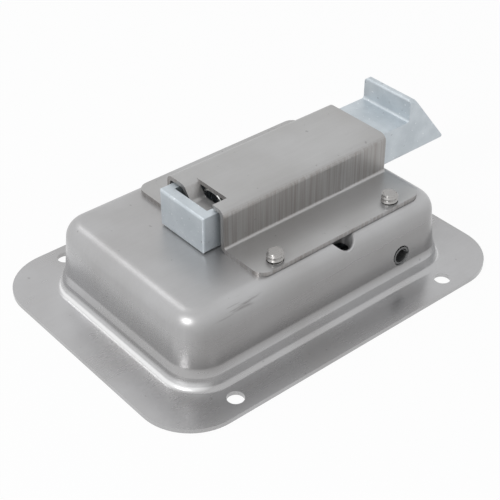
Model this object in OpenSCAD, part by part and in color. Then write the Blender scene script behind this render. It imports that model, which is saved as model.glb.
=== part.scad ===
// Non-locking paddle latch with a slam bolt, in millimetres.
// It lies face down: z = 0 is the front face of the mounting flange, +Z points into the vehicle door,
// and the bolt slides along X with its bevelled nose towards +X.

/* [Flange] */
// Thickness of the stainless sheet of the dish and the housing
sheet_t = 1.5; // [1:0.1:2]
// Width of the flange outside the foot of the dish, at the two ends
flange_end = 13.1; // [10:0.1:30]
// Width of the flange outside the foot of the dish, at the two sides
flange_side = 11.8; // [10.5:0.1:30]
// Corner radius of the mounting flange
flange_r = 18.2; // [8:0.2:22]
// Distance between the mounting holes along the bolt
hole_pitch_l = 89.6; // [70:0.2:100]
// Distance from the foot of the dish to the middle of the mounting holes
hole_out = 5.7; // [5.4:0.1:6.4]
// Diameter of the mounting holes
hole_d = 5.6; // [4:0.1:6]

/* [Drawn dish] */
// Length of the dish at its back, over the walls
dish_l = 105.4; // [103:0.2:130]
// Width of the dish at its back, over the walls
dish_w = 71.2; // [70:0.2:90]
// Height of the dish's back above the front face
dish_h = 26.6; // [25:0.2:30]
// Corner radius of the dish, seen from the back
dish_r = 9.2; // [8.4:0.1:12]
// How far the wall leans outwards between the back and the step
wall_lean = 1.5; // [0.8:0.1:1.6]
// Height of the step round the mouth above the front face
step_h = 7.3; // [7:0.1:8.5]
// Width of the ledge on top of the step
ledge_w = 2.1; // [2:0.1:4]
// How much the ledge rises from the step's edge to the wall
ledge_rise = 0.3; // [0.1:0.1:0.6]
// How far the step leans outwards between the ledge and the flange
step_lean = 0.6; // [0.2:0.1:0.8]
// Bend radius where the step meets the flange
foot_r = 3; // [2:0.1:3.6]
// Bend radius inside the step's shoulder
shoulder_r = 0.5; // [0.3:0.1:0.5]
// Bend radius between the ledge and the wall
ledge_r = 0.6; // [0.3:0.1:0.6]
// Bend radius inside the edge of the dish's back
back_r = 4.5; // [3:0.1:4.8]
// Width of the two side holes in the edges of the dish's back
side_hole_w = 9.1; // [6:0.1:10]
// Length of each side hole, across the bolt
side_hole_l = 9.1; // [8:0.1:9.4]
// Place of the side holes along the bolt
side_hole_x = 10.5; // [6:0.1:14]
// How far the side holes reach past the edge of the dish's back
side_hole_out = -0.05; // [-0.4:0.05:0.4]
// Thickness of the lip turned in round each side hole
lip_t = 1; // [0.8:0.1:1.2]
// Depth of the lips below the dish's back
lip_h = 6; // [5:0.1:7]

/* [Housing] */
// Length of the housing along the bolt
housing_l = 69.6; // [66:0.2:74]
// Place of the housing's end on the bolt's tail side
housing_x = -23.2; // [-26:0.2:-22]
// Width over the housing's two flanges
housing_w = 63.4; // [58:0.2:66]
// Outer width of the channel that the bolt runs in
channel_w = 28.2; // [27:0.2:32]
// Outer height of the channel above the dish's back
channel_h = 15.45; // [15:0.05:17]
// Bend radius inside the housing's bends
channel_r = 1; // [0.5:0.1:1.4]
// Corner radius of the housing's flanges
housing_r = 4; // [2:0.5:6]
// Width of the notch and of the flap along the bolt
flap_w = 5.7; // [4.5:0.1:7]
// Place of the flap's root at the far edge of the notch
flap_root_y = 7.4; // [6.8:0.1:8.4]
// Place of the fold where the flap turns down out of the top
flap_fold_y = 5.4; // [5:0.1:5.8]
// Place of the flap's lower bend, across the bolt
flap_bend_y = 1.8; // [1:0.1:2.4]
// Depth of the flap's level tongue below the top of the channel
flap_drop = 4.95; // [4.4:0.05:5.4]
// How far the tongue reaches past the bolt's middle
flap_reach = 6.5; // [5:0.1:7]
// Width of the notch past the bolt's middle
notch_reach = 8.8; // [8:0.1:10]

/* [Screws] */
// Thread diameter of the housing screws
screw_d = 5.6; // [4.5:0.1:6]
// How far the screw ends stand out of the housing's flange
screw_out = 2.9; // [1:0.1:4]
// Diameter of the countersunk screw heads inside the dish
screw_head_d = 8.6; // [7.4:0.1:8.6]
// Width of the arms of the cross recess in the screw heads
recess_w = 1.1; // [0.8:0.1:1.4]
// Place of the screws near the bolt's tail
screw_x0 = -14.4; // [-16:0.2:-12]
// Place of the screws near the bolt's nose
screw_x1 = 35; // [33:0.2:38]
// Distance from the housing's side edges to the screws
screw_edge = 3.7; // [3.4:0.1:5]

/* [Bolt] */
// Width of the bolt
bolt_w = 22; // [21.5:0.1:25]
// Height of the bolt's bar
bolt_h = 13.3; // [13:0.05:13.5]
// Length of the bolt from the tail to the sharp end of the bevel
bolt_l = 108.2; // [104:0.2:116]
// Thickness of the wall at the bolt's tail
tail_t = 3.9; // [3:0.1:7]
// Width of the spring trough in the bolt
trough_w = 16.2; // [15.8:0.1:17.4]
// Thickness of the floor under the trough
trough_floor = 1.3; // [1:0.1:1.6]
// Height of the nose above the bolt's underside
nose_h = 21.3; // [18:0.1:24]
// Thickness of the nose at its top
nose_t = 2.1; // [1.8:0.1:4]
// Length of the bevel on the nose
bevel_l = 16.8; // [12:0.2:20]
// Radius of the rounded edges of the casting
edge_r = 0.8; // [0.3:0.1:0.9]
// Travel of the bolt
travel = 10; // [8:0.1:10.2]

/* [Spring] */
// Wire diameter of the bolt spring
wire_d = 1.1; // [0.8:0.05:1.2]
// Outer diameter of the bolt spring
spring_d = 11.7; // [9:0.1:12]
// Length of the bolt spring with the bolt thrown
spring_l = 33.4; // [30:0.1:36]
// Number of active coils
coils = 9; // [6:0.5:11]
// Distance between the first two turns at each end of the spring
end_pitch = 1.5; // [1.3:0.1:2]
// Number of turns with that closer pitch at each end of the spring
end_turns = 1.5; // [1:0.25:2]

/* [Paddle] */
// Thickness of the paddle's sheet
paddle_t = 1.5; // [1.2:0.1:1.8]
// Gap between the paddle's rim and the walls of the dish beside it
paddle_gap = 2.3; // [1.6:0.1:5]
// Place of the paddle's free end
paddle_x0 = -31; // [-34:0.5:-28]
// Place of the paddle's end behind the pivot
paddle_x1 = 48; // [46:0.1:48.2]
// How far the paddle's face lies inside the front face
paddle_in = 0.5; // [0.3:0.1:1]
// Height of the paddle's rim
rim_h = 7.5; // [5:0.1:8]
// Bend radius inside the paddle's rim
paddle_r = 1.5; // [1:0.1:2]
// Corner radius of the paddle
paddle_corner_r = 8; // [5:0.5:10]
// Radius of the ears round the pivot
ear_r = 6; // [5.5:0.1:6.4]
// Length of the ears along the rim
ear_l = 20; // [16:0.5:24]
// Largest turn of the paddle
turn_max = 27; // [20:1:28]

/* [Pivot] */
// Place of the pivot along the bolt
pivot_x = 33.2; // [31:0.1:34]
// Height of the pivot above the front face
pivot_z = 11.6; // [11:0.1:12.4]
// Outer diameter of the hollow pivot pin
pin_d = 6.3; // [5:0.1:6.6]
// Wall of the hollow pivot pin
pin_wall = 0.6; // [0.5:0.05:1]
// Width of the slit along the pivot pin
pin_slit = 0.8; // [0.4:0.1:1.2]
// Diameter of the holes in the dish for the pivot pin
pin_hole_d = 7.1; // [6.9:0.1:7.6]

/* [Release arm] */
// Thickness of the arm's sheet
arm_t = 2; // [1.5:0.1:2.2]
// Width of the arm over its two cheeks
arm_w = 14; // [12:0.2:15]
// Height of the arm's nose centre above the pivot
arm_h = 22; // [21:0.1:22.4]
// Radius of the arm's nose
arm_nose_r = 2.5; // [2:0.1:2.6]
// Radius of the arm round the pivot
arm_eye_r = 5.5; // [5.2:0.1:6]
// Height above the pivot where the arm's taper ends
arm_neck_h = 12; // [8:0.2:13]
// Length of the arm's feet along the paddle
foot_l = 16; // [14:0.5:18]
// Width of each foot beside its cheek
foot_w = 6; // [4:0.5:8]

/* [Clearances] */
// Gap between the bolt and the back of the dish
slide_gap = 0.2; // [0.1:0.05:0.3]
// Gap between the flap and the bolt's tail wall, with the bolt thrown
stop_gap = 1.6; // [0.3:0.1:2]
// Gap between the release arm's nose and the walls of its pocket
arm_gap = 0.3; // [0.2:0.05:0.5]
// Gap round the release arm where it passes through the dish
slot_gap = 0.7; // [0.4:0.1:1]
// Gap between the pivot pin and the bores of the ears and the arm
pin_gap = 0.03; // [0.02:0.01:0.06]
// Gap between the pivot pin and the nearest side of its holes in the dish
rest_gap = 0.05; // [0.03:0.01:0.1]
// Gap between a screw and the hole that it is threaded into
thread_gap = 0.03; // [0.02:0.01:0.06]
// Gap at each end of the spring
seat_gap = 0.1; // [0.05:0.05:0.2]

/* [Hidden] */
$fn = 48;
stainless = [0.66, 0.66, 0.67];
zinc = [0.70, 0.74, 0.77];
steel = [0.60, 0.60, 0.61];
eps = 1;

// Centre of the dish's corners, and the offsets of its section from the back's outline
corner_x = dish_l / 2 - dish_r;
corner_y = dish_w / 2 - dish_r;
ledge_out = wall_lean + ledge_w;
foot_out = ledge_out + step_lean;
foot_r_out = dish_r + foot_out;
stub_r = foot_r_out + 6;
flange_l = 2 * (corner_x + foot_r_out + flange_end);
flange_w = 2 * (corner_y + foot_r_out + flange_side);
hole_pitch_w = 2 * (corner_y + foot_r_out + hole_out);

// How far the wall leans out at height z, from its top edge
wall_foot = step_h + ledge_rise;
function lean_at(z) = wall_lean * (dish_h - z) / (dish_h - wall_foot);

// Planes that stack on the dish's back
housing_z = dish_h + sheet_t;
channel_z = dish_h + channel_h;
bolt_z = dish_h + slide_gap;
flap_z = channel_z - flap_drop;

// Places along the bolt, from the flap and the tail towards the nose
flap_x = housing_x + flap_w;
trough_x0 = housing_x - stop_gap;
tail_x = trough_x0 - tail_t;
spring_x0 = flap_x + seat_gap;
trough_x1 = spring_x0 + spring_l + seat_gap;
tip_x = tail_x + bolt_l;
nose_x1 = tip_x - bevel_l;
nose_x0 = nose_x1 - nose_t;
spring_r = spring_d / 2 - wire_d / 2;
spring_z = bolt_z + trough_floor + spring_d / 2 + 0.3;

// Screws
screw_pitch_w = housing_w - 2 * screw_edge;
head_h = (screw_head_d - screw_d) / 2;

// Release arm and its pocket in the bolt
arm_z = pivot_z + arm_h;
neck_z = pivot_z + arm_neck_h;
pocket_x0 = pivot_x - arm_nose_r - arm_gap;
pocket_x1 = pivot_x + arm_nose_r + travel + 2 * arm_gap;
pocket_z = arm_z + arm_nose_r + 2 * arm_gap;
pocket_w = arm_w + 4 * arm_gap;
paddle_z = paddle_in + paddle_t;
paddle_l = paddle_x1 - paddle_x0;
paddle_w = dish_w + 2 * (lean_at(paddle_in + rim_h) - sheet_t - paddle_gap);

// The pin lies against the side of its holes that faces the nose and the front
pin_off = ((pin_hole_d - pin_d) / 2 - rest_gap) / sqrt(2);
pin_half = dish_w / 2 + lean_at(pivot_z);

function unit(v) = v / norm(v);
function left(v) = [-v[1], v[0]];
function turned(v, a) = [v[0] * cos(a) - v[1] * sin(a), v[0] * sin(a) + v[1] * cos(a)];
function turn(u, w) = atan2(cross(u, w), u * w);
function reversed(p) = [for (i = [len(p) - 1:-1:0]) p[i]];

// Points of the arc of radius r that rounds corner b between the directions u and w
function rounded(b, u, w, r, n) =
    let (t = turn(u, w), start = b - u * r * tan(abs(t) / 2), centre = start + left(u) * sign(t) * r)
    [for (i = [0:n]) centre + turned(start - centre, t * i / n)];

// One face of a bent sheet along path p: the path itself, or the face a thickness to its left.
// The radii r are those inside each bend.
function sheet_face(p, r, t, off, n) =
    let (m = len(p) - 1)
    [for (i = [0:m]) each
        let (u = unit(p[max(i, 1)] - p[max(i, 1) - 1]), w = unit(p[min(i, m - 1) + 1] - p[min(i, m - 1)]),
             a = i == 0 ? w : u, c = i == m ? u : w,
             b = p[i] + (left(a) + left(c)) * off / (1 + left(a) * left(c)),
             inside = (turn(a, c) > 0) == (off > 0))
        i == 0 || i == m ? [b] : rounded(b, a, c, inside ? r[i] : r[i] + t, n)];

// Section of a bent sheet of thickness t to the left of path p
function sheet(p, r, t, n = 6) = concat(sheet_face(p, r, t, 0, n), reversed(sheet_face(p, r, t, t, n)));

// Closed outline p with corner i rounded to radius r[i]
function outline(p, r, n = 6) =
    let (m = len(p))
    [for (i = [0:m - 1]) each
        let (u = unit(p[i] - p[(i + m - 1) % m]), w = unit(p[(i + 1) % m] - p[i]))
        rounded(p[i], u, w, r[i], n)];

// Flat shape of size l by w with round corners, centred
module round_rect(l, w, r) {
    polygon(outline([[-l, -w] / 2, [l, -w] / 2, [l, w] / 2, [-l, w] / 2], [r, r, r, r], 8));
}

// Flat shape drawn in Y and Z, extruded along X from x0 to x1
module along_x(x0, x1) {
    translate([x0, 0, 0])
        rotate([90, 0, 90])
            linear_extrude(x1 - x0)
                children();
}

// Flat shape drawn in X and Z, extruded along Y from y0 to y1
module along_y(y0, y1) {
    translate([0, y1, 0])
        rotate([90, 0, 0])
            linear_extrude(y1 - y0)
                children();
}

// Cylinder along Y through the point x, z
module rod_y(x, z, d, half) {
    translate([x, half, z])
        rotate([90, 0, 0])
            cylinder(d = d, h = 2 * half);
}

// Section of the drawn dish: flange, step, ledge, leaning wall and back, by distance from a corner's centre
function dish_section() = sheet(
    [[stub_r, sheet_t], [foot_r_out, sheet_t], [dish_r + ledge_out, step_h],
     [dish_r + wall_lean, wall_foot], [dish_r, dish_h], [1, dish_h]],
    [0, foot_r, shoulder_r, ledge_r, back_r, 0], sheet_t);

// Four corners and four straight walls of a drawn sheet, from a section by distance from a corner's centre
module drawn(cx, cy) {
    for (i = [0:3])
        translate([(i == 0 || i == 3 ? 1 : -1) * cx, (i < 2 ? 1 : -1) * cy, 0])
            rotate([0, 0, 90 * i])
                rotate_extrude(angle = 90)
                    children();
    for (s = [0, 1])
        mirror([0, s, 0])
            translate([0, cy, 0])
                along_x(-cx, cx)
                    children();
    for (s = [0, 1])
        mirror([s, 0, 0])
            translate([cx, 0, 0])
                along_y(-cy, cy)
                    children();
}

module dish() {
    color(stainless)
    difference() {
        union() {
            drawn(corner_x, corner_y)
                polygon(dish_section());
            intersection() {
                side_holes(lip_t, 0);
                dish_envelope();
            }
            translate([0, 0, dish_h - sheet_t])
                linear_extrude(sheet_t)
                    round_rect(2 * (corner_x + 2), 2 * (corner_y + 2), 2);
            linear_extrude(sheet_t)
                difference() {
                    round_rect(flange_l, flange_w, flange_r);
                    round_rect(2 * (corner_x + stub_r - eps), 2 * (corner_y + stub_r - eps), stub_r - eps);
                }
        }
        mounting_holes();
        countersinks();
        rod_y(pivot_x - pin_off, pivot_z + pin_off, pin_hole_d, dish_w);
        arm_slot();
        side_holes(0, eps);
    }
}

module mounting_holes() {
    for (x = [-1, 1] * hole_pitch_l / 2, y = [-1, 1] * hole_pitch_w / 2)
        translate([x, y, -eps])
            cylinder(d = hole_d, h = sheet_t + 2 * eps);
}

module screw_places() {
    for (x = [screw_x0, screw_x1], y = [-1, 1] * screw_pitch_w / 2)
        translate([x, y, 0])
            children();
}

// Countersunk holes for the screws, open towards the inside of the dish
module countersinks() {
    seat_d = screw_head_d + 2 * thread_gap;
    screw_places()
        translate([0, 0, dish_h - sheet_t]) {
            cylinder(d = screw_d + 2 * thread_gap, h = sheet_t + eps);
            cylinder(d1 = seat_d, d2 = screw_d + 2 * thread_gap, h = head_h);
            translate([0, 0, -3])
                cylinder(d = seat_d, h = 3);
        }
}

// Slot in the dish's back that the release arm swings in
module arm_slot() {
    swing = (dish_h - pivot_z) * tan(turn_max) + arm_nose_r / cos(turn_max);
    x0 = pivot_x - swing - slot_gap;
    x1 = pivot_x + arm_nose_r + slot_gap;
    w = arm_w + 2 * slot_gap;
    translate([(x0 + x1) / 2, 0, dish_h - sheet_t - eps])
        linear_extrude(sheet_t + 2 * eps)
            round_rect(x1 - x0, w, 1.5);
}

// Plugs of the side holes, which run over the bent edges of the dish's back, grown by a wall of thickness t
module side_holes(t, over) {
    l = side_hole_l + 2 * t;
    w = side_hole_w + 2 * t;
    for (s = [-1, 1])
        translate([side_hole_x, s * (dish_w / 2 + side_hole_out - side_hole_l / 2), dish_h - lip_h - over])
            linear_extrude(lip_h + 2 * over)
                round_rect(w, l, min(w, l) / 2 - 0.05);
}

// Everything inside the dish's outer face beside the bolt, to trim the lips to that face
module dish_envelope() {
    face = sheet_face([[dish_r + wall_lean, wall_foot], [dish_r, dish_h], [1, dish_h]], [0, back_r, 0],
                      sheet_t, 0, 6);
    for (s = [0, 1])
        mirror([0, s, 0])
            translate([0, corner_y, 0])
                along_x(-corner_x, corner_x)
                    polygon(concat(face, [[1 - corner_y, dish_h], [1 - corner_y, wall_foot]]));
}

// Hat section of the housing, in Y and Z
function hat_section() = sheet(
    [[housing_w / 2, housing_z], [channel_w / 2, housing_z], [channel_w / 2, channel_z],
     [-channel_w / 2, channel_z], [-channel_w / 2, housing_z], [-housing_w / 2, housing_z]],
    [0, channel_r, channel_r, channel_r, channel_r, 0], sheet_t);

// Section of the flap, in Y and Z: out of the top, steeply down and level across the trough
function flap_section() = sheet(
    [[flap_root_y + eps, channel_z], [flap_fold_y, channel_z], [flap_bend_y, flap_z], [-flap_reach, flap_z]],
    [0, 0.6, 1.8, 0], sheet_t);

module housing() {
    color(stainless)
    union() {
        difference() {
            intersection() {
                along_x(housing_x, housing_x + housing_l)
                    polygon(hat_section());
                translate([housing_x + housing_l / 2, 0, dish_h])
                    linear_extrude(channel_h)
                        round_rect(housing_l, housing_w, housing_r);
            }
            translate([housing_x - eps, -notch_reach, channel_z - sheet_t - eps])
                cube([flap_w + eps, notch_reach + flap_root_y, sheet_t + 2 * eps]);
            screw_places()
                translate([0, 0, dish_h - eps])
                    cylinder(d = screw_d + 2 * thread_gap, h = sheet_t + 2 * eps);
        }
        along_x(housing_x, flap_x)
            polygon(flap_section());
    }
}

// Four countersunk screws, put in from inside the dish and threaded into the housing's flanges
module housing_screws() {
    shank = 2 * sheet_t + screw_out;
    tip = 0.4;
    arm = screw_d * 0.8;
    color(steel)
    screw_places()
        translate([0, 0, dish_h - sheet_t])
            difference() {
                union() {
                    cylinder(d1 = screw_head_d, d2 = screw_d, h = head_h);
                    cylinder(d = screw_d, h = shank - tip);
                    translate([0, 0, shank - tip])
                        cylinder(d1 = screw_d, d2 = screw_d - 2 * tip, h = tip);
                }
                for (a = [0, 90])
                    rotate([0, 0, a])
                        translate([-arm / 2, -recess_w / 2, -eps])
                            cube([arm, recess_w, eps + head_h]);
            }
}

// Side view of the bolt, in X and Z, with the bevelled nose at the right
function bolt_profile() = outline(
    [[tail_x, bolt_z], [tip_x, bolt_z], [nose_x1, bolt_z + nose_h], [nose_x0, bolt_z + nose_h],
     [nose_x0, bolt_z + bolt_h], [tail_x, bolt_z + bolt_h]],
    [edge_r, 1.2, edge_r, edge_r, 1, edge_r]);

// Cross-section of the spring trough, in Y and Z, open upwards
function trough_section() =
    let (half = trough_w / 2, low = bolt_z + trough_floor, high = bolt_z + bolt_h + eps)
    concat(rounded([-half, low], [0, -1], [1, 0], 3, 6), rounded([half, low], [1, 0], [0, 1], 3, 6),
           [[half, high], [-half, high]]);

module bolt() {
    color(zinc)
    difference() {
        intersection() {
            along_y(-bolt_w / 2, bolt_w / 2)
                polygon(bolt_profile());
            along_x(tail_x - eps, tip_x + eps)
                translate([0, bolt_z + nose_h / 2])
                    round_rect(bolt_w, nose_h, edge_r + 0.6);
            translate([(tail_x + tip_x) / 2, 0, bolt_z - eps])
                linear_extrude(nose_h + 2 * eps)
                    round_rect(bolt_l, bolt_w, edge_r);
        }
        along_x(trough_x0, trough_x1)
            polygon(trough_section());
        translate([pocket_x0, -pocket_w / 2, bolt_z - eps])
            cube([pocket_x1 - pocket_x0, pocket_w, pocket_z - bolt_z + eps]);
    }
}

// Place of the coil's centre line along the spring after a share s of its turns
turns = coils + 2 * end_turns;
function coil_x(s) =
    let (free = spring_l - wire_d - 2 * end_turns * end_pitch, k = s * turns)
    spring_x0 + wire_d / 2 + end_pitch * min(k, end_turns)
    + free * max(0, min(k - end_turns, coils)) / coils
    + end_pitch * max(0, k - turns + end_turns);
function coil_point(s) =
    let (a = 360 * turns * s - 90)
    [coil_x(s), spring_r * cos(a), spring_z + spring_r * sin(a)];

module bolt_spring() {
    rings = ceil(turns * 16);
    sides = 8;
    points = [for (i = [0:rings])
        let (p = coil_point(i / rings), out = unit([0, p[1], p[2] - spring_z]))
        for (j = [0:sides - 1]) p + (wire_d / 2) * (out * cos(360 * j / sides) + [sin(360 * j / sides), 0, 0])];
    faces = concat(
        [[for (j = [0:sides - 1]) j]],
        [for (i = [0:rings - 1], j = [0:sides - 1])
            [i * sides + j, (i + 1) * sides + j, (i + 1) * sides + (j + 1) % sides, i * sides + (j + 1) % sides]],
        [[for (j = [sides - 1:-1:0]) rings * sides + j]]);
    color(steel)
        polyhedron(points, faces, convexity = 10);
}

// Section of the drawn paddle: face and rim, by distance from a corner's centre
function paddle_section() = sheet(
    [[1, paddle_in], [paddle_corner_r, paddle_in], [paddle_corner_r, paddle_in + rim_h]],
    [0, paddle_r, 0], paddle_t);

module paddle() {
    cx = paddle_l / 2 - paddle_corner_r;
    cy = paddle_w / 2 - paddle_corner_r;
    color(stainless)
    difference() {
        union() {
            translate([paddle_x0 + paddle_l / 2, 0, 0])
                drawn(cx, cy)
                    polygon(paddle_section());
            translate([paddle_x0 + paddle_l / 2, 0, paddle_in])
                linear_extrude(paddle_t)
                    round_rect(2 * (cx + 2), 2 * (cy + 2), 2);
            for (y = [-paddle_w / 2, paddle_w / 2 - paddle_t])
                along_y(y, y + paddle_t)
                    ear_outline();
        }
        rod_y(pivot_x, pivot_z, pin_d + 2 * pin_gap, paddle_w);
    }
}

// Point where the tangent from p touches the circle of radius r round c, on the side s
function touch(p, c, r, s) = c + r * turned(unit(p - c), s * acos(r / norm(p - c)));

// Outline of an ear in X and Z: a round eye and its foot in the rim
module ear_outline() {
    eye = [pivot_x, pivot_z];
    high = paddle_in + rim_h - 0.2;
    low = high - rim_h / 2;
    from = [pivot_x - ear_l / 2, high];
    to = [pivot_x + ear_l / 2, high];
    translate(eye)
        circle(r = ear_r);
    polygon([from, [from[0], low], [to[0], low], to, touch(to, eye, ear_r, 1), touch(from, eye, ear_r, -1)]);
}

// Section of the release arm, in Y and Z: feet, two cheeks and the web over them
function arm_section() = sheet(
    [[arm_w / 2 + foot_w, paddle_z + arm_t], [arm_w / 2, paddle_z + arm_t], [arm_w / 2, arm_z + arm_nose_r],
     [-arm_w / 2, arm_z + arm_nose_r], [-arm_w / 2, paddle_z + arm_t], [-arm_w / 2 - foot_w, paddle_z + arm_t]],
    [0, 0.5, 0.8, 0.8, 0.5, 0], arm_t);

// Outline of the release arm in X and Z: feet, eye, taper and neck with a round nose
module arm_outline() {
    translate([pivot_x - foot_l / 2, paddle_z])
        square([foot_l, arm_t]);
    polygon([[pivot_x - arm_eye_r, paddle_z], [pivot_x + arm_eye_r, paddle_z], [pivot_x + arm_eye_r, pivot_z],
             [pivot_x + arm_nose_r, neck_z], [pivot_x + arm_nose_r, arm_z], [pivot_x - arm_nose_r, arm_z],
             [pivot_x - arm_nose_r, neck_z], [pivot_x - arm_eye_r, pivot_z]]);
    translate([pivot_x, arm_z])
        circle(r = arm_nose_r);
}

module release_arm() {
    color(steel)
    difference() {
        intersection() {
            along_x(pivot_x - foot_l, pivot_x + foot_l)
                polygon(arm_section());
            along_y(-arm_w, arm_w)
                arm_outline();
        }
        rod_y(pivot_x, pivot_z, pin_d + 2 * pin_gap, arm_w);
    }
}

// Hollow spring pin with a slit along it
module pivot_pin() {
    color(steel)
    difference() {
        rod_y(pivot_x, pivot_z, pin_d, pin_half);
        rod_y(pivot_x, pivot_z, pin_d - 2 * pin_wall, pin_half + eps);
        translate([pivot_x + pin_d / 4, -pin_half - eps, pivot_z - pin_slit / 2])
            cube([pin_d, 2 * (pin_half + eps), pin_slit]);
    }
}

dish();
housing();
housing_screws();
bolt();
bolt_spring();
paddle();
release_arm();
pivot_pin();
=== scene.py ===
from math import cos, pi, radians, sin, sqrt, tan

import bpy
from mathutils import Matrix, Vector


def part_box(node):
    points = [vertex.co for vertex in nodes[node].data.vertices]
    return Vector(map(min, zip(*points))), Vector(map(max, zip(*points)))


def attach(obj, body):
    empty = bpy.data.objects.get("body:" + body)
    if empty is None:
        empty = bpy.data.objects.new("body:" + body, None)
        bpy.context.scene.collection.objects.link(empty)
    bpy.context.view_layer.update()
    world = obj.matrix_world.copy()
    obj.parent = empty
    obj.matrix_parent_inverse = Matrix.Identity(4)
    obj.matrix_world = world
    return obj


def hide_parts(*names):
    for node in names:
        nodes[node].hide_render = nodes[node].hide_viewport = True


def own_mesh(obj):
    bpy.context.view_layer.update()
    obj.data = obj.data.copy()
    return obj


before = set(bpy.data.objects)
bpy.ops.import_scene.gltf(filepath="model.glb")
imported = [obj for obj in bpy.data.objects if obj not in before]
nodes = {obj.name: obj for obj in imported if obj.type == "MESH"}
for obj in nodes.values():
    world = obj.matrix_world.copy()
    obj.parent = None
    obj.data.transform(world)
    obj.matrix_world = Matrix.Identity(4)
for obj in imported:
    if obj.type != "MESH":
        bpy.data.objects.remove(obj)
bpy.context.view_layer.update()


# The camera looks down on the back of the latch from the tail side of the bolt, through a long lens, as a
# catalogue photograph is taken.
look_down, look_turn = 36.44, -40.22
camera = bpy.data.objects.new("camera", bpy.data.cameras.new("camera"))
bpy.context.scene.collection.objects.link(camera)
camera.location = (-0.2181, -0.2570, 0.2578)
camera.rotation_euler = (radians(90 - look_down), 0, radians(look_turn))
camera.data.lens = 90.3
camera.data.sensor_width = 36
camera.data.clip_start = 0.01
camera.data.clip_end = 20
bpy.context.scene.camera = camera
bpy.context.scene.view_settings.view_transform = "Standard"


# The table is a pale sweep and the room round it is as pale. Both go white to the lens and in the metal's
# reflections. The table still takes the latch's shadow where the lamps reach it.
def seen_white(tree, own, white, output, share=1.0):
    """Show this share of plain white in place of own to the lens, and in what metal and glass show."""
    path = tree.nodes.new("ShaderNodeLightPath")
    seen = path.outputs["Is Camera Ray"]
    for ray in ("Is Glossy Ray", "Is Transmission Ray"):
        either = tree.nodes.new("ShaderNodeMath")
        either.operation = "MAXIMUM"
        tree.links.new(seen, either.inputs[0])
        tree.links.new(path.outputs[ray], either.inputs[1])
        seen = either.outputs[0]
    shown = tree.nodes.new("ShaderNodeMath")
    shown.operation = "MULTIPLY"
    shown.inputs[1].default_value = share
    tree.links.new(seen, shown.inputs[0])
    white.inputs["Color"].default_value = (1, 1, 1, 1)
    white.inputs["Strength"].default_value = 1
    mix = tree.nodes.new("ShaderNodeMixShader")
    tree.links.new(shown.outputs[0], mix.inputs[0])
    tree.links.new(own.outputs[0], mix.inputs[1])
    tree.links.new(white.outputs[0], mix.inputs[2])
    tree.links.new(mix.outputs[0], output.inputs["Surface"])


table_size, table_drop = 6, 0.0003
bpy.ops.mesh.primitive_plane_add(size=table_size, location=(0, 0, -table_drop))
table = bpy.context.active_object
table.name = "table"
bpy.ops.object.transform_apply(location=True)
paper = bpy.data.materials.new("table_paper")
paper.use_nodes = True
tree = paper.node_tree
shader = tree.nodes["Principled BSDF"]
shader.inputs["Base Color"].default_value = (0.86, 0.86, 0.86, 1)
shader.inputs["Roughness"].default_value = 0.9
seen_white(tree, shader, tree.nodes.new("ShaderNodeEmission"), tree.nodes["Material Output"], share=0.95)
table.data.materials.append(paper)

world = bpy.data.worlds.new("studio")
world.use_nodes = True
bpy.context.scene.world = world
tree = world.node_tree
room = tree.nodes["Background"]
room.inputs["Color"].default_value = (0.95, 0.97, 1.0, 1)
room.inputs["Strength"].default_value = 0.55
seen_white(tree, room, tree.nodes.new("ShaderNodeBackground"), tree.nodes["World Output"])


# One soft box stands to the left of the latch, above the tail of the bolt. It gives the bright spots on the
# rounded corners. A weak one behind lifts the bends that face away from it.
def soft_box(name, place, size, power):
    """A square lamp that is aimed at the middle of the latch."""
    middle = Vector((0, 0, 0.02))
    lamp = bpy.data.objects.new(name, bpy.data.lights.new(name, "AREA"))
    bpy.context.scene.collection.objects.link(lamp)
    lamp.location = place
    lamp.rotation_euler = (middle - Vector(place)).to_track_quat("-Z", "Y").to_euler()
    lamp.data.shape = "SQUARE"
    lamp.data.size = size
    lamp.data.energy = power


soft_box("left_box", place=(-0.66, -0.10, 0.50), size=0.24, power=2.2)
soft_box("back_box", place=(-0.10, 0.60, 0.75), size=0.30, power=0.5)


# The dish is deep-drawn from stainless sheet 1.5 mm thick and left as it came out of the press: a matt rolled
# grain, cloudy patches where the sheet was stretched, faint draw marks down the walls and a few specks.
def pattern(tree, scale, stretch=(1, 1, 1), detail=3.0):
    """Noise in the object's own coordinates, drawn out along the axes where stretch is small."""
    place = tree.nodes.new("ShaderNodeTexCoord")
    lay = tree.nodes.new("ShaderNodeMapping")
    lay.inputs["Scale"].default_value = stretch
    noise = tree.nodes.new("ShaderNodeTexNoise")
    noise.inputs["Scale"].default_value = scale
    noise.inputs["Detail"].default_value = detail
    tree.links.new(place.outputs["Object"], lay.inputs["Vector"])
    tree.links.new(lay.outputs["Vector"], noise.inputs["Vector"])
    return noise.outputs["Fac"]


def spread(tree, value, low, high, out_low=0.0, out_high=1.0):
    """Stretch a value's range from low..high to out_low..out_high."""
    ranged = tree.nodes.new("ShaderNodeMapRange")
    ranged.inputs["From Min"].default_value = low
    ranged.inputs["From Max"].default_value = high
    ranged.inputs["To Min"].default_value = out_low
    ranged.inputs["To Max"].default_value = out_high
    tree.links.new(value, ranged.inputs["Value"])
    return ranged.outputs["Result"]


def blend(tree, share, first, second):
    """Colour between first and second; each is a colour or another node's output."""
    mixed = tree.nodes.new("ShaderNodeMix")
    mixed.data_type = "RGBA"
    tree.links.new(share, mixed.inputs[0])
    for slot, colour in ((6, first), (7, second)):
        if isinstance(colour, tuple):
            mixed.inputs[slot].default_value = (*colour, 1)
        else:
            tree.links.new(colour, mixed.inputs[slot])
    return mixed.outputs[2]


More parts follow.
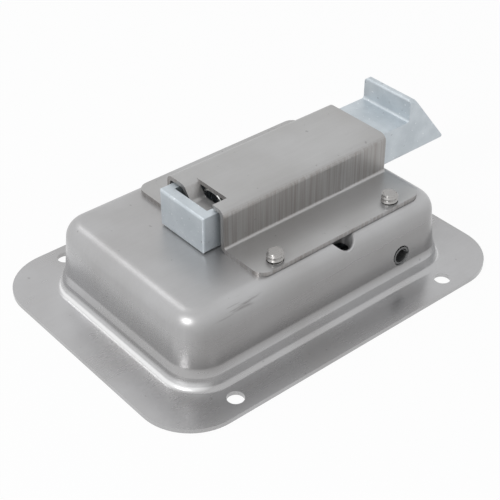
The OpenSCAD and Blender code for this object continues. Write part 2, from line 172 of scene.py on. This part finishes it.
def combine(tree, how, first, second):
    """One step of arithmetic on two values; each is a number or another node's output."""
    made = tree.nodes.new("ShaderNodeMath")
    made.operation = how
    for slot, value in enumerate((first, second)):
        if isinstance(value, (int, float)):
            made.inputs[slot].default_value = value
        else:
            tree.links.new(value, made.inputs[slot])
    return made.outputs[0]


def times(tree, first, second):
    """One value weakened by another."""
    return combine(tree, "MULTIPLY", first, second)


def bump(tree, shader, height, strength, distance, under=None):
    """Relief from a height pattern, on top of the relief under it."""
    made = tree.nodes.new("ShaderNodeBump")
    made.inputs["Strength"].default_value = strength
    made.inputs["Distance"].default_value = distance
    tree.links.new(height, made.inputs["Height"])
    if under is not None:
        tree.links.new(under, made.inputs["Normal"])
    tree.links.new(made.outputs["Normal"], shader.inputs["Normal"])
    return made.outputs["Normal"]


def height_of(tree):
    """Height above the front face, from the object's own coordinates."""
    place = tree.nodes.new("ShaderNodeTexCoord")
    parts = tree.nodes.new("ShaderNodeSeparateXYZ")
    tree.links.new(place.outputs["Object"], parts.inputs[0])
    return parts.outputs["Z"]


def facing(tree, axis):
    """How far the surface faces along an axis of the object, either way."""
    place = tree.nodes.new("ShaderNodeTexCoord")
    parts = tree.nodes.new("ShaderNodeSeparateXYZ")
    tree.links.new(place.outputs["Normal"], parts.inputs[0])
    return combine(tree, "ABSOLUTE", parts.outputs[axis], 0)


def patch(tree, centre, size):
    """1 inside a soft-edged ellipsoid at centre, 0 outside it."""
    place = tree.nodes.new("ShaderNodeTexCoord")
    lay = tree.nodes.new("ShaderNodeMapping")
    lay.inputs["Scale"].default_value = [1 / side for side in size]
    lay.inputs["Location"].default_value = [-at / side for at, side in zip(centre, size)]
    reach = tree.nodes.new("ShaderNodeVectorMath")
    reach.operation = "LENGTH"
    tree.links.new(place.outputs["Object"], lay.inputs["Vector"])
    tree.links.new(lay.outputs["Vector"], reach.inputs[0])
    return spread(tree, reach.outputs["Value"], low=1.0, high=0.6)


def pressed_sheet(name, light, dark, streaks=0.0, rough=0.22, cast=(0.10, 0.092, 0.085), more=None):
    """Bare steel, clouded between light and dark. streaks is how strongly the draw marks, of colour cast, show on
    upright walls. more adds a piece's own wear and any painted light."""
    grain_dark, speck_dark = tuple(0.7 * part for part in dark), (0.13, 0.12, 0.12)
    material = bpy.data.materials.new(name)
    material.use_nodes = True
    tree = material.node_tree
    shader = tree.nodes["Principled BSDF"]
    shader.inputs["Metallic"].default_value = 0.72
    clouds = spread(tree, pattern(tree, scale=28, detail=4.0), low=0.36, high=0.64)
    grain = spread(tree, pattern(tree, scale=900, stretch=(0.08, 1, 1)), low=0.3, high=0.7)
    marks = spread(tree, pattern(tree, scale=1400, stretch=(1, 1, 0.02), detail=5.0), low=0.25, high=0.68)
    wall = spread(tree, facing(tree, "Z"), low=0.75, high=0.30)
    specks = spread(tree, pattern(tree, scale=520, detail=1.0), low=0.76, high=0.80)
    colour = blend(tree, clouds, dark, light)
    colour = blend(tree, times(tree, grain, 0.06), colour, grain_dark)
    colour = blend(tree, times(tree, wall, times(tree, marks, streaks)), colour, cast)
    colour = blend(tree, times(tree, specks, 0.35), colour, speck_dark)
    roughness = combine(tree, "ADD", spread(tree, clouds, low=0, high=1, out_low=rough + 0.05, out_high=rough),
                        times(tree, grain, 0.03))
    if more is not None:
        colour, roughness = more(tree, colour, roughness)
    tree.links.new(colour, shader.inputs["Base Color"])
    tree.links.new(roughness, shader.inputs["Roughness"])
    rolled = bump(tree, shader, grain, strength=0.06, distance=0.00002)
    bump(tree, shader, pattern(tree, scale=90, detail=2.0), strength=0.14, distance=0.00006, under=rolled)
    return material


def drop_selection():
    """Deselect every object."""
    bpy.ops.object.select_all(action="DESELECT")


def pick(piece):
    """Select the piece alone and make it the active one."""
    drop_selection()
    piece.select_set(True)
    bpy.context.view_layer.objects.active = piece


def edit_all(piece):
    """Enter edit mode on the piece with all of it selected."""
    pick(piece)
    bpy.ops.object.mode_set(mode="EDIT")
    bpy.ops.mesh.select_all(action="SELECT")


def choose(piece, wanted):
    """Enter edit mode on the piece with the faces selected whose centre and normal are wanted."""
    pick(piece)
    bpy.ops.object.mode_set(mode="EDIT")
    bpy.ops.mesh.select_mode(type="FACE")
    bpy.ops.mesh.select_all(action="DESELECT")
    bpy.ops.object.mode_set(mode="OBJECT")
    for face in piece.data.polygons:
        face.select = wanted(face.center, face.normal)
    bpy.ops.object.mode_set(mode="EDIT")


def applied(piece, kind, **settings):
    """Add a modifier to the piece and apply it."""
    pick(piece)
    modifier = piece.modifiers.new(kind.lower(), kind)
    for name, value in settings.items():
        setattr(modifier, name, value)
    bpy.ops.object.modifier_apply(modifier=modifier.name)


def joined(piece, *others):
    """Make the other objects part of the piece."""
    pick(piece)
    for other in others:
        other.select_set(True)
    bpy.ops.object.join()


def cut(piece, tool):
    """Take the tool's shape out of the piece, and the tool away."""
    applied(piece, "BOOLEAN", operation="DIFFERENCE", solver="EXACT", object=tool)
    bpy.data.objects.remove(tool)


def drill(piece, radius, depth, place, turn=(0, 0, 0)):
    """Cut a round hole with the middle of the drill at place."""
    bpy.ops.mesh.primitive_cylinder_add(vertices=48, radius=radius, depth=depth, location=place, rotation=turn)
    cut(piece, bpy.context.active_object)


def rounded(points, radii, steps):
    """Profile through the points, with each inner corner rounded to its radius."""
    profile = [Vector(points[0])]
    for before, corner, after, radius, count in zip(points, points[1:], points[2:], radii, steps):
        along = (Vector(corner) - Vector(before)).normalized()
        onward = (Vector(after) - Vector(corner)).normalized()
        turn = along.angle(onward)
        side = (onward - along * along.dot(onward)).normalized()
        start = Vector(corner) - along * radius * tan(turn / 2)
        for step in range(count + 1):
            angle = turn * step / count
            profile.append(start + (along * sin(angle) + side * (1 - cos(angle))) * radius)
    profile.append(Vector(points[-1]))
    return profile


def rounded_plate(length, width, radius, z):
    """One flat face with round corners."""
    drop_selection()
    bpy.ops.mesh.primitive_plane_add(size=1, location=(0, 0, z))
    plate = bpy.context.active_object
    plate.scale = (length, width, 1)
    bpy.ops.object.transform_apply(location=True, scale=True)
    edit_all(plate)
    bpy.ops.mesh.bevel(offset=radius, segments=16, affect="VERTICES")
    bpy.ops.object.mode_set(mode="OBJECT")
    return plate


# The section runs from the flange over the step and up the wall to the back. Each point gives the distance from the
# centre of a rounded corner of the dish, and the height. The flange is filled in between the section's foot and the
# rim, and then the sheet gets its thickness.
sheet, back_top = 0.0015, 0.0266
flange_size, flange_r = (0.1400, 0.1032), 0.0182
corner_x, corner_y = 0.0435, 0.0264
section = rounded([(0.0162, sheet), (0.0130, sheet), (0.0120, 0.0058), (0.0110, 0.0083), (0.0092, back_top),
                   (0.0030, back_top)], radii=(0.0020, 0.0010, 0.0040, 0.0060), steps=(8, 5, 6, 14))
foot = section[0]
dish = rounded_plate(2 * (corner_x + foot.x), 2 * (corner_y + foot.x), foot.x, foot.y)
dish.name = "dish_shell"
choose(dish, lambda centre, normal: True)
for before, after in zip(section, section[1:]):
    bpy.ops.mesh.inset(thickness=before.x - after.x, use_even_offset=True)
    bpy.ops.transform.translate(value=(0, 0, after.y - before.y))
bpy.ops.object.mode_set(mode="OBJECT")
rim = rounded_plate(*flange_size, flange_r, sheet)
edit_all(rim)
bpy.ops.mesh.delete(type="ONLY_FACE")
bpy.ops.object.mode_set(mode="OBJECT")
joined(dish, rim)
bpy.ops.object.mode_set(mode="EDIT")
bpy.ops.mesh.select_mode(type="EDGE")
bpy.ops.mesh.select_all(action="DESELECT")
bpy.ops.mesh.select_non_manifold()
bpy.ops.mesh.fill()
bpy.ops.mesh.select_all(action="SELECT")
bpy.ops.mesh.normals_make_consistent(inside=False)
bpy.ops.object.mode_set(mode="OBJECT")
applied(dish, "SOLIDIFY", thickness=sheet, offset=-1, use_even_offset=True)

# Its holes: four for mounting, two for the pin, four countersunk ones for the housing's screws, the slot for the
# arm, and a round one in each long edge of the back.
mounting_x, mounting_y, mounting_r = 0.0448, 0.0455, 0.0028
for x in (-mounting_x, mounting_x):
    for y in (-mounting_y, mounting_y):
        drill(dish, mounting_r, depth=0.01, place=(x, y, 0))
pin_x, pin_z, pin_hole_r = 0.03295, 0.01185, 0.00355
drill(dish, pin_hole_r, depth=0.09, place=(pin_x, 0, pin_z), turn=(pi / 2, 0, 0))
sink_x, sink_y = (-0.0144, 0.0350), (-0.0280, 0.0280)
sink_wide, sink_narrow, sink_depth = 0.00533, 0.00183, 0.0035
for x in sink_x:
    for y in sink_y:
        bpy.ops.mesh.primitive_cone_add(vertices=40, radius1=sink_wide, radius2=sink_narrow, depth=sink_depth,
                                        location=(x, y, back_top - sheet / 2))
        cut(dish, bpy.context.active_object)
slot_middle, slot_size, slot_r = (0.02923, 0, 0.0259), (0.01435, 0.0154, 0.006), 0.0015
bpy.ops.mesh.primitive_cube_add(size=1, location=slot_middle, scale=slot_size)
slot = bpy.context.active_object
applied(slot, "BEVEL", width=slot_r, segments=4)
cut(dish, slot)
hole_x, hole_y, hole_z, hole_r = 0.0105, 0.0310, 0.026, 0.00455
for side in (-1, 1):
    drill(dish, hole_r, depth=0.02, place=(hole_x, side * hole_y, hole_z))

# The edge of each round side hole is drawn inwards to a flared lip, which follows the bend of the back.
flare = [(0.0002, 0.0001), (0.0004, 0.0004), (0.0005, 0.0006), (0.0004, 0.0007), (0.0002, 0.0008),
         (0.0001, 0.0020)]
lip_lap, lip_sheet = 0.0001, 0.0005
bend_y, bend_r, bend_spare = 0.03007, 0.0060, 0.0001
lips = []
for side in (-1, 1):
    drop_selection()
    bpy.ops.mesh.primitive_circle_add(vertices=48, radius=hole_r + lip_lap, fill_type="NGON",
                                      location=(hole_x, side * hole_y, back_top))
    lip = bpy.context.active_object
    bpy.ops.object.transform_apply(location=True)
    choose(lip, lambda centre, normal: True)
    for inwards, down in flare:
        bpy.ops.mesh.inset(thickness=inwards, use_even_offset=True)
        bpy.ops.transform.translate(value=(0, 0, -down))
    bpy.ops.mesh.delete(type="FACE")
    bpy.ops.object.mode_set(mode="OBJECT")
    applied(lip, "SOLIDIFY", thickness=lip_sheet, offset=-1, use_even_offset=True)
    for point in lip.data.vertices:
        past = min(max(abs(point.co.y) - bend_y, 0), bend_r - bend_spare)
        point.co.z += sqrt(bend_r ** 2 - past ** 2) - bend_r
    lips.append(lip)
joined(dish, *lips)
bpy.ops.object.shade_smooth_by_angle(angle=radians(40))


def dish_wear_and_painted_light(tree, colour, roughness):
    """The step at the two ends gets a painted highlight and is less rough, the long walls get painted shade, one
    bend of the back is scratched, and all its bends are rougher."""
    long_wall_shade, step_highlight, scratch_dark = (0.25, 0.243, 0.24), (0.86, 0.86, 0.86), (0.13, 0.12, 0.115)
    z = height_of(tree)
    # Painted highlight: the step's colour goes near white at the two ends, where it is also less rough.
    step = times(tree, spread(tree, z, low=0.0015, high=0.0017), spread(tree, z, low=0.0048, high=0.0036))
    step = times(tree, step, spread(tree, facing(tree, "X"), low=0.30, high=0.60))
    streak = spread(tree, pattern(tree, scale=700, stretch=(0.10, 1, 1), detail=4.0), low=0.56, high=0.66)
    scratch = times(tree, patch(tree, centre=(-0.036, -0.034, 0.0245), size=(0.013, 0.003, 0.003)), streak)
    # Painted shade: the long walls are made darker from just above the step, and less so up towards the back.
    side = times(tree, spread(tree, facing(tree, "Y"), low=0.45, high=0.90),
                 spread(tree, z, low=0.0062, high=0.0085))
    side = times(tree, side, spread(tree, z, low=0.026, high=0.018, out_low=0.25, out_high=0.75))
    upper = spread(tree, z, low=0.018, high=0.022, out_high=0.10)
    colour = blend(tree, side, colour, long_wall_shade)
    colour = blend(tree, step, colour, step_highlight)
    colour = blend(tree, times(tree, scratch, 0.55), colour, scratch_dark)
    roughness = combine(tree, "SUBTRACT", combine(tree, "ADD", roughness, upper), times(tree, step, 0.08))
    return colour, roughness


dish.data.materials.append(pressed_sheet("dish_sheet", light=(0.50, 0.50, 0.505), dark=(0.43, 0.425, 0.425),
                                         streaks=0.06, more=dish_wear_and_painted_light))
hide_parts("dish")
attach(dish, "body")


# The housing is bent from the same sheet. Its sides were dragged through the die, which left close upright
# streaks with a brown cast on them.
def finish(node, material):
    """Give a solid its metal in place of its plain colour."""
    nodes[node].data.materials.clear()
    nodes[node].data.materials.append(material)


housing_sheet = pressed_sheet("housing_sheet", light=(0.48, 0.48, 0.48), dark=(0.42, 0.415, 0.41), streaks=0.55,
                              rough=0.30, cast=(0.19, 0.158, 0.135))
finish("housing", housing_sheet)


# Four plain steel screws are put in from inside the dish. Each has a countersunk head with a cross recess, flush
# in the dish's back, and a coarse thread whose end stands out of the housing's near flange. The two in the far
# flange, where no end is seen over the housing, are shorter and end flush with it.
def closed(piece, top=None):
    """Cut a wound piece off level where a top is given, close its open ends and face it outwards."""
    edit_all(piece)
    if top is not None:
        bpy.ops.mesh.bisect(plane_co=(0, 0, top), plane_no=(0, 0, 1), clear_outer=True, use_fill=False)
        bpy.ops.mesh.select_all(action="SELECT")
    bpy.ops.mesh.fill_holes(sides=0)
    bpy.ops.mesh.select_all(action="SELECT")
    bpy.ops.mesh.normals_make_consistent(inside=False)
    bpy.ops.object.mode_set(mode="OBJECT")


screw_low, screw_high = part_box("housing_screws")
flange_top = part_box("housing")[0][2] + sheet
head_d, shank_d, root_d, pitch = 0.0086, 0.0056, 0.0046, 0.0015
head_h, tip_h = (head_d - shank_d) / 2, 0.00025
drop_selection()
bpy.ops.mesh.primitive_cone_add(vertices=40, radius1=head_d / 2, radius2=root_d / 2, depth=head_h,
                                location=(0, 0, screw_low[2] + head_h / 2))
screw = bpy.context.active_object
bpy.ops.object.transform_apply(location=True)
choose(screw, lambda centre, normal: normal.z > 0.9)
shank_h = screw_high[2] - screw_low[2] - head_h - tip_h
bpy.ops.mesh.extrude_region_move(TRANSFORM_OT_translate={"value": (0, 0, shank_h)})
bpy.ops.mesh.extrude_region_move(TRANSFORM_OT_translate={"value": (0, 0, tip_h)})
bpy.ops.transform.resize(value=(0.9, 0.9, 1))
bpy.ops.object.mode_set(mode="OBJECT")

# The thread is a ridge wound on the root, from a little under the flange's top to just short of the tip.
thread_turns, thread_low, thread_high = 4, flange_top - 1.2 * pitch, screw_high[2] - 0.0001
drop_selection()
bpy.ops.mesh.primitive_circle_add(vertices=4, radius=(shank_d - root_d) / 2, fill_type="NOTHING",
                                  location=(0, 0, 0), rotation=(pi / 2, 0, 0))
ridge = bpy.context.active_object
bpy.ops.object.transform_apply(rotation=True)
edit_all(ridge)
bpy.ops.transform.translate(value=(root_d / 2, 0, thread_low))
bpy.ops.object.mode_set(mode="OBJECT")
applied(ridge, "SCREW", axis="Z", steps=40, render_steps=40, screw_offset=pitch, iterations=thread_turns,
        use_merge_vertices=False, use_smooth_shade=True)
closed(ridge, top=thread_high)

# Two tapered bars cut the cross recess.
recess_width, recess_bar, recess_depth = 0.0044, 0.0011, 0.92 * head_h
for turn in (0, pi / 2):
    bpy.ops.mesh.primitive_cube_add(size=1, location=(0, 0, screw_low[2]), rotation=(0, 0, turn),
                                    scale=(recess_width, recess_bar, 2 * recess_depth))
    bar = bpy.context.active_object
    choose(bar, lambda centre, normal: normal.z > 0.9)
    bpy.ops.transform.resize(value=(0.45, 0.7, 0.7), orient_type="LOCAL")
    bpy.ops.object.mode_set(mode="OBJECT")
    cut(screw, bar)
joined(screw, ridge)
bpy.ops.object.shade_smooth_by_angle(angle=radians(35))
screw.data.materials.append(pressed_sheet("screw_steel", light=(0.42, 0.41, 0.40), dark=(0.36, 0.35, 0.34),
                                          streaks=0.05))

# The four are copies, each turned as it came to rest. A far one is cut off just under the flange's top, and a disc
# in the housing's finish closes the hole over it.
screws = [screw]
for turn in (65, 130, 215):
    pick(screw)
    bpy.ops.object.duplicate()
    copy = bpy.context.active_object
    copy.rotation_euler = (0, 0, radians(turn))
    screws.append(copy)
screw_x = (screw_low[0] + head_d / 2, screw_high[0] - head_d / 2)
screw_y = (screw_high[1] - screw_low[1] - head_d) / 2
places = [(x, y) for y in (-screw_y, screw_y) for x in screw_x]
far_end, disc_h = flange_top - 0.0004, 0.0010
for number, (piece, (x, y)) in enumerate(zip(screws, places), 1):
    piece.name = f"screw_{number}"
    piece.location = (x, y, 0)
    pick(piece)
    bpy.ops.object.transform_apply(location=True, rotation=True)
    if y > 0:
        edit_all(piece)
        bpy.ops.mesh.bisect(plane_co=(0, 0, far_end), plane_no=(0, 0, 1), clear_outer=True, use_fill=True)
        bpy.ops.object.mode_set(mode="OBJECT")
        bpy.ops.mesh.primitive_cylinder_add(vertices=48, radius=shank_d / 2, depth=disc_h,
                                            location=(x, y, flange_top - disc_h / 2))
        disc = bpy.context.active_object
        disc.data.materials.append(housing_sheet)
        joined(piece, disc)
    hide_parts("housing_screws")
    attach(piece, "body")


# The bolt is a steel casting with bright zinc plating: bluish, slightly mottled where the crystals grew, with
# small dark pits and bright flecks from the casting's skin.
zinc = bpy.data.materials.new("zinc_plate")
zinc.use_nodes = True
tree = zinc.node_tree
shader = tree.nodes["Principled BSDF"]
shader.inputs["Metallic"].default_value = 0.55
zinc_dark, zinc_light, zinc_dull = (0.56, 0.61, 0.645), (0.66, 0.71, 0.745), (0.50, 0.545, 0.575)
pit_dark, fleck_light = (0.20, 0.21, 0.22), (0.92, 0.94, 0.96)
mottle = spread(tree, pattern(tree, scale=160, detail=4.0), low=0.35, high=0.65)
drift = spread(tree, pattern(tree, scale=30, detail=2.0), low=0.35, high=0.65)
pits = spread(tree, pattern(tree, scale=620, detail=1.5), low=0.70, high=0.78)
flecks = spread(tree, pattern(tree, scale=900, detail=1.0), low=0.70, high=0.76)
colour = blend(tree, mottle, zinc_dark, zinc_light)
colour = blend(tree, times(tree, drift, 0.35), colour, zinc_dull)
colour = blend(tree, times(tree, pits, 0.5), colour, pit_dark)
colour = blend(tree, times(tree, flecks, 0.6), colour, fleck_light)
tree.links.new(colour, shader.inputs["Base Color"])
tree.links.new(spread(tree, mottle, low=0, high=1, out_low=0.44, out_high=0.36), shader.inputs["Roughness"])
cast_skin = bump(tree, shader, pattern(tree, scale=260, detail=5.0), strength=0.40, distance=0.00012)
bump(tree, shader, pits, strength=-0.3, distance=0.00005, under=cast_skin)
finish("bolt", zinc)


# The paddle is drawn from the same sheet as the dish and lies flush in its mouth. Two ears on its inside hang on
# the pivot pin.
finish("paddle", pressed_sheet("paddle_sheet", light=(0.44, 0.44, 0.445), dark=(0.38, 0.375, 0.375), streaks=0.2))


# The release arm is a bent strip with zinc plating, spot-welded to the paddle's inside. It reaches through the slot
# in the dish's back into the pocket under the bolt.
finish("release_arm", zinc)


# The pivot pin is rolled from dark spring steel with a slit along it. It is pressed into the paddle's ears and the
# arm, and turns in the dish's two pin holes.
finish("pivot_pin", pressed_sheet("pin_steel", light=(0.26, 0.26, 0.26), dark=(0.19, 0.19, 0.19), streaks=0.1))


# The spring is wound from bright wire and stands between the housing's flap and the end of the trough. A turn
# and a half at each end lie closer, and the nine turns between them are open.
spring_low, spring_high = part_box("bolt_spring")
wire_d, coils, end_turns, end_pitch = 0.0011, 9, 1.5, 0.0015
spring_r = (spring_high[1] - spring_low[1] - wire_d) / 2
spring_z = (spring_low[2] + spring_high[2]) / 2
free_pitch = (spring_high[0] - spring_low[0] - wire_d - 2 * end_turns * end_pitch) / coils
sides, steps = 12, 32
drop_selection()
bpy.ops.mesh.primitive_circle_add(vertices=sides, radius=wire_d / 2, fill_type="NOTHING",
                                  location=(spring_low[0] + wire_d / 2, 0, spring_z), rotation=(pi / 2, 0, 0))
spring = bpy.context.active_object
spring.name = "spring_wire"
bpy.ops.object.transform_apply(location=False, rotation=True)
edit_all(spring)
bpy.ops.transform.translate(value=(0, 0, -spring_r))
bpy.ops.object.mode_set(mode="OBJECT")
applied(spring, "SCREW", axis="X", steps=steps, render_steps=steps, screw_offset=end_pitch,
        iterations=int(coils + 2 * end_turns), use_merge_vertices=False, use_smooth_shade=True)
for point in spring.data.vertices:
    turn = (point.index // sides) / steps
    point.co.x += min(max(turn - end_turns, 0), coils) * (free_pitch - end_pitch)
closed(spring)
bpy.ops.object.transform_apply(location=True)
bpy.ops.object.shade_smooth_by_angle(angle=radians(50))
spring.data.materials.append(pressed_sheet("spring_wire", light=(0.46, 0.46, 0.45), dark=(0.40, 0.40, 0.39)))
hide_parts("bolt_spring")
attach(spring, "body")
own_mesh(spring)
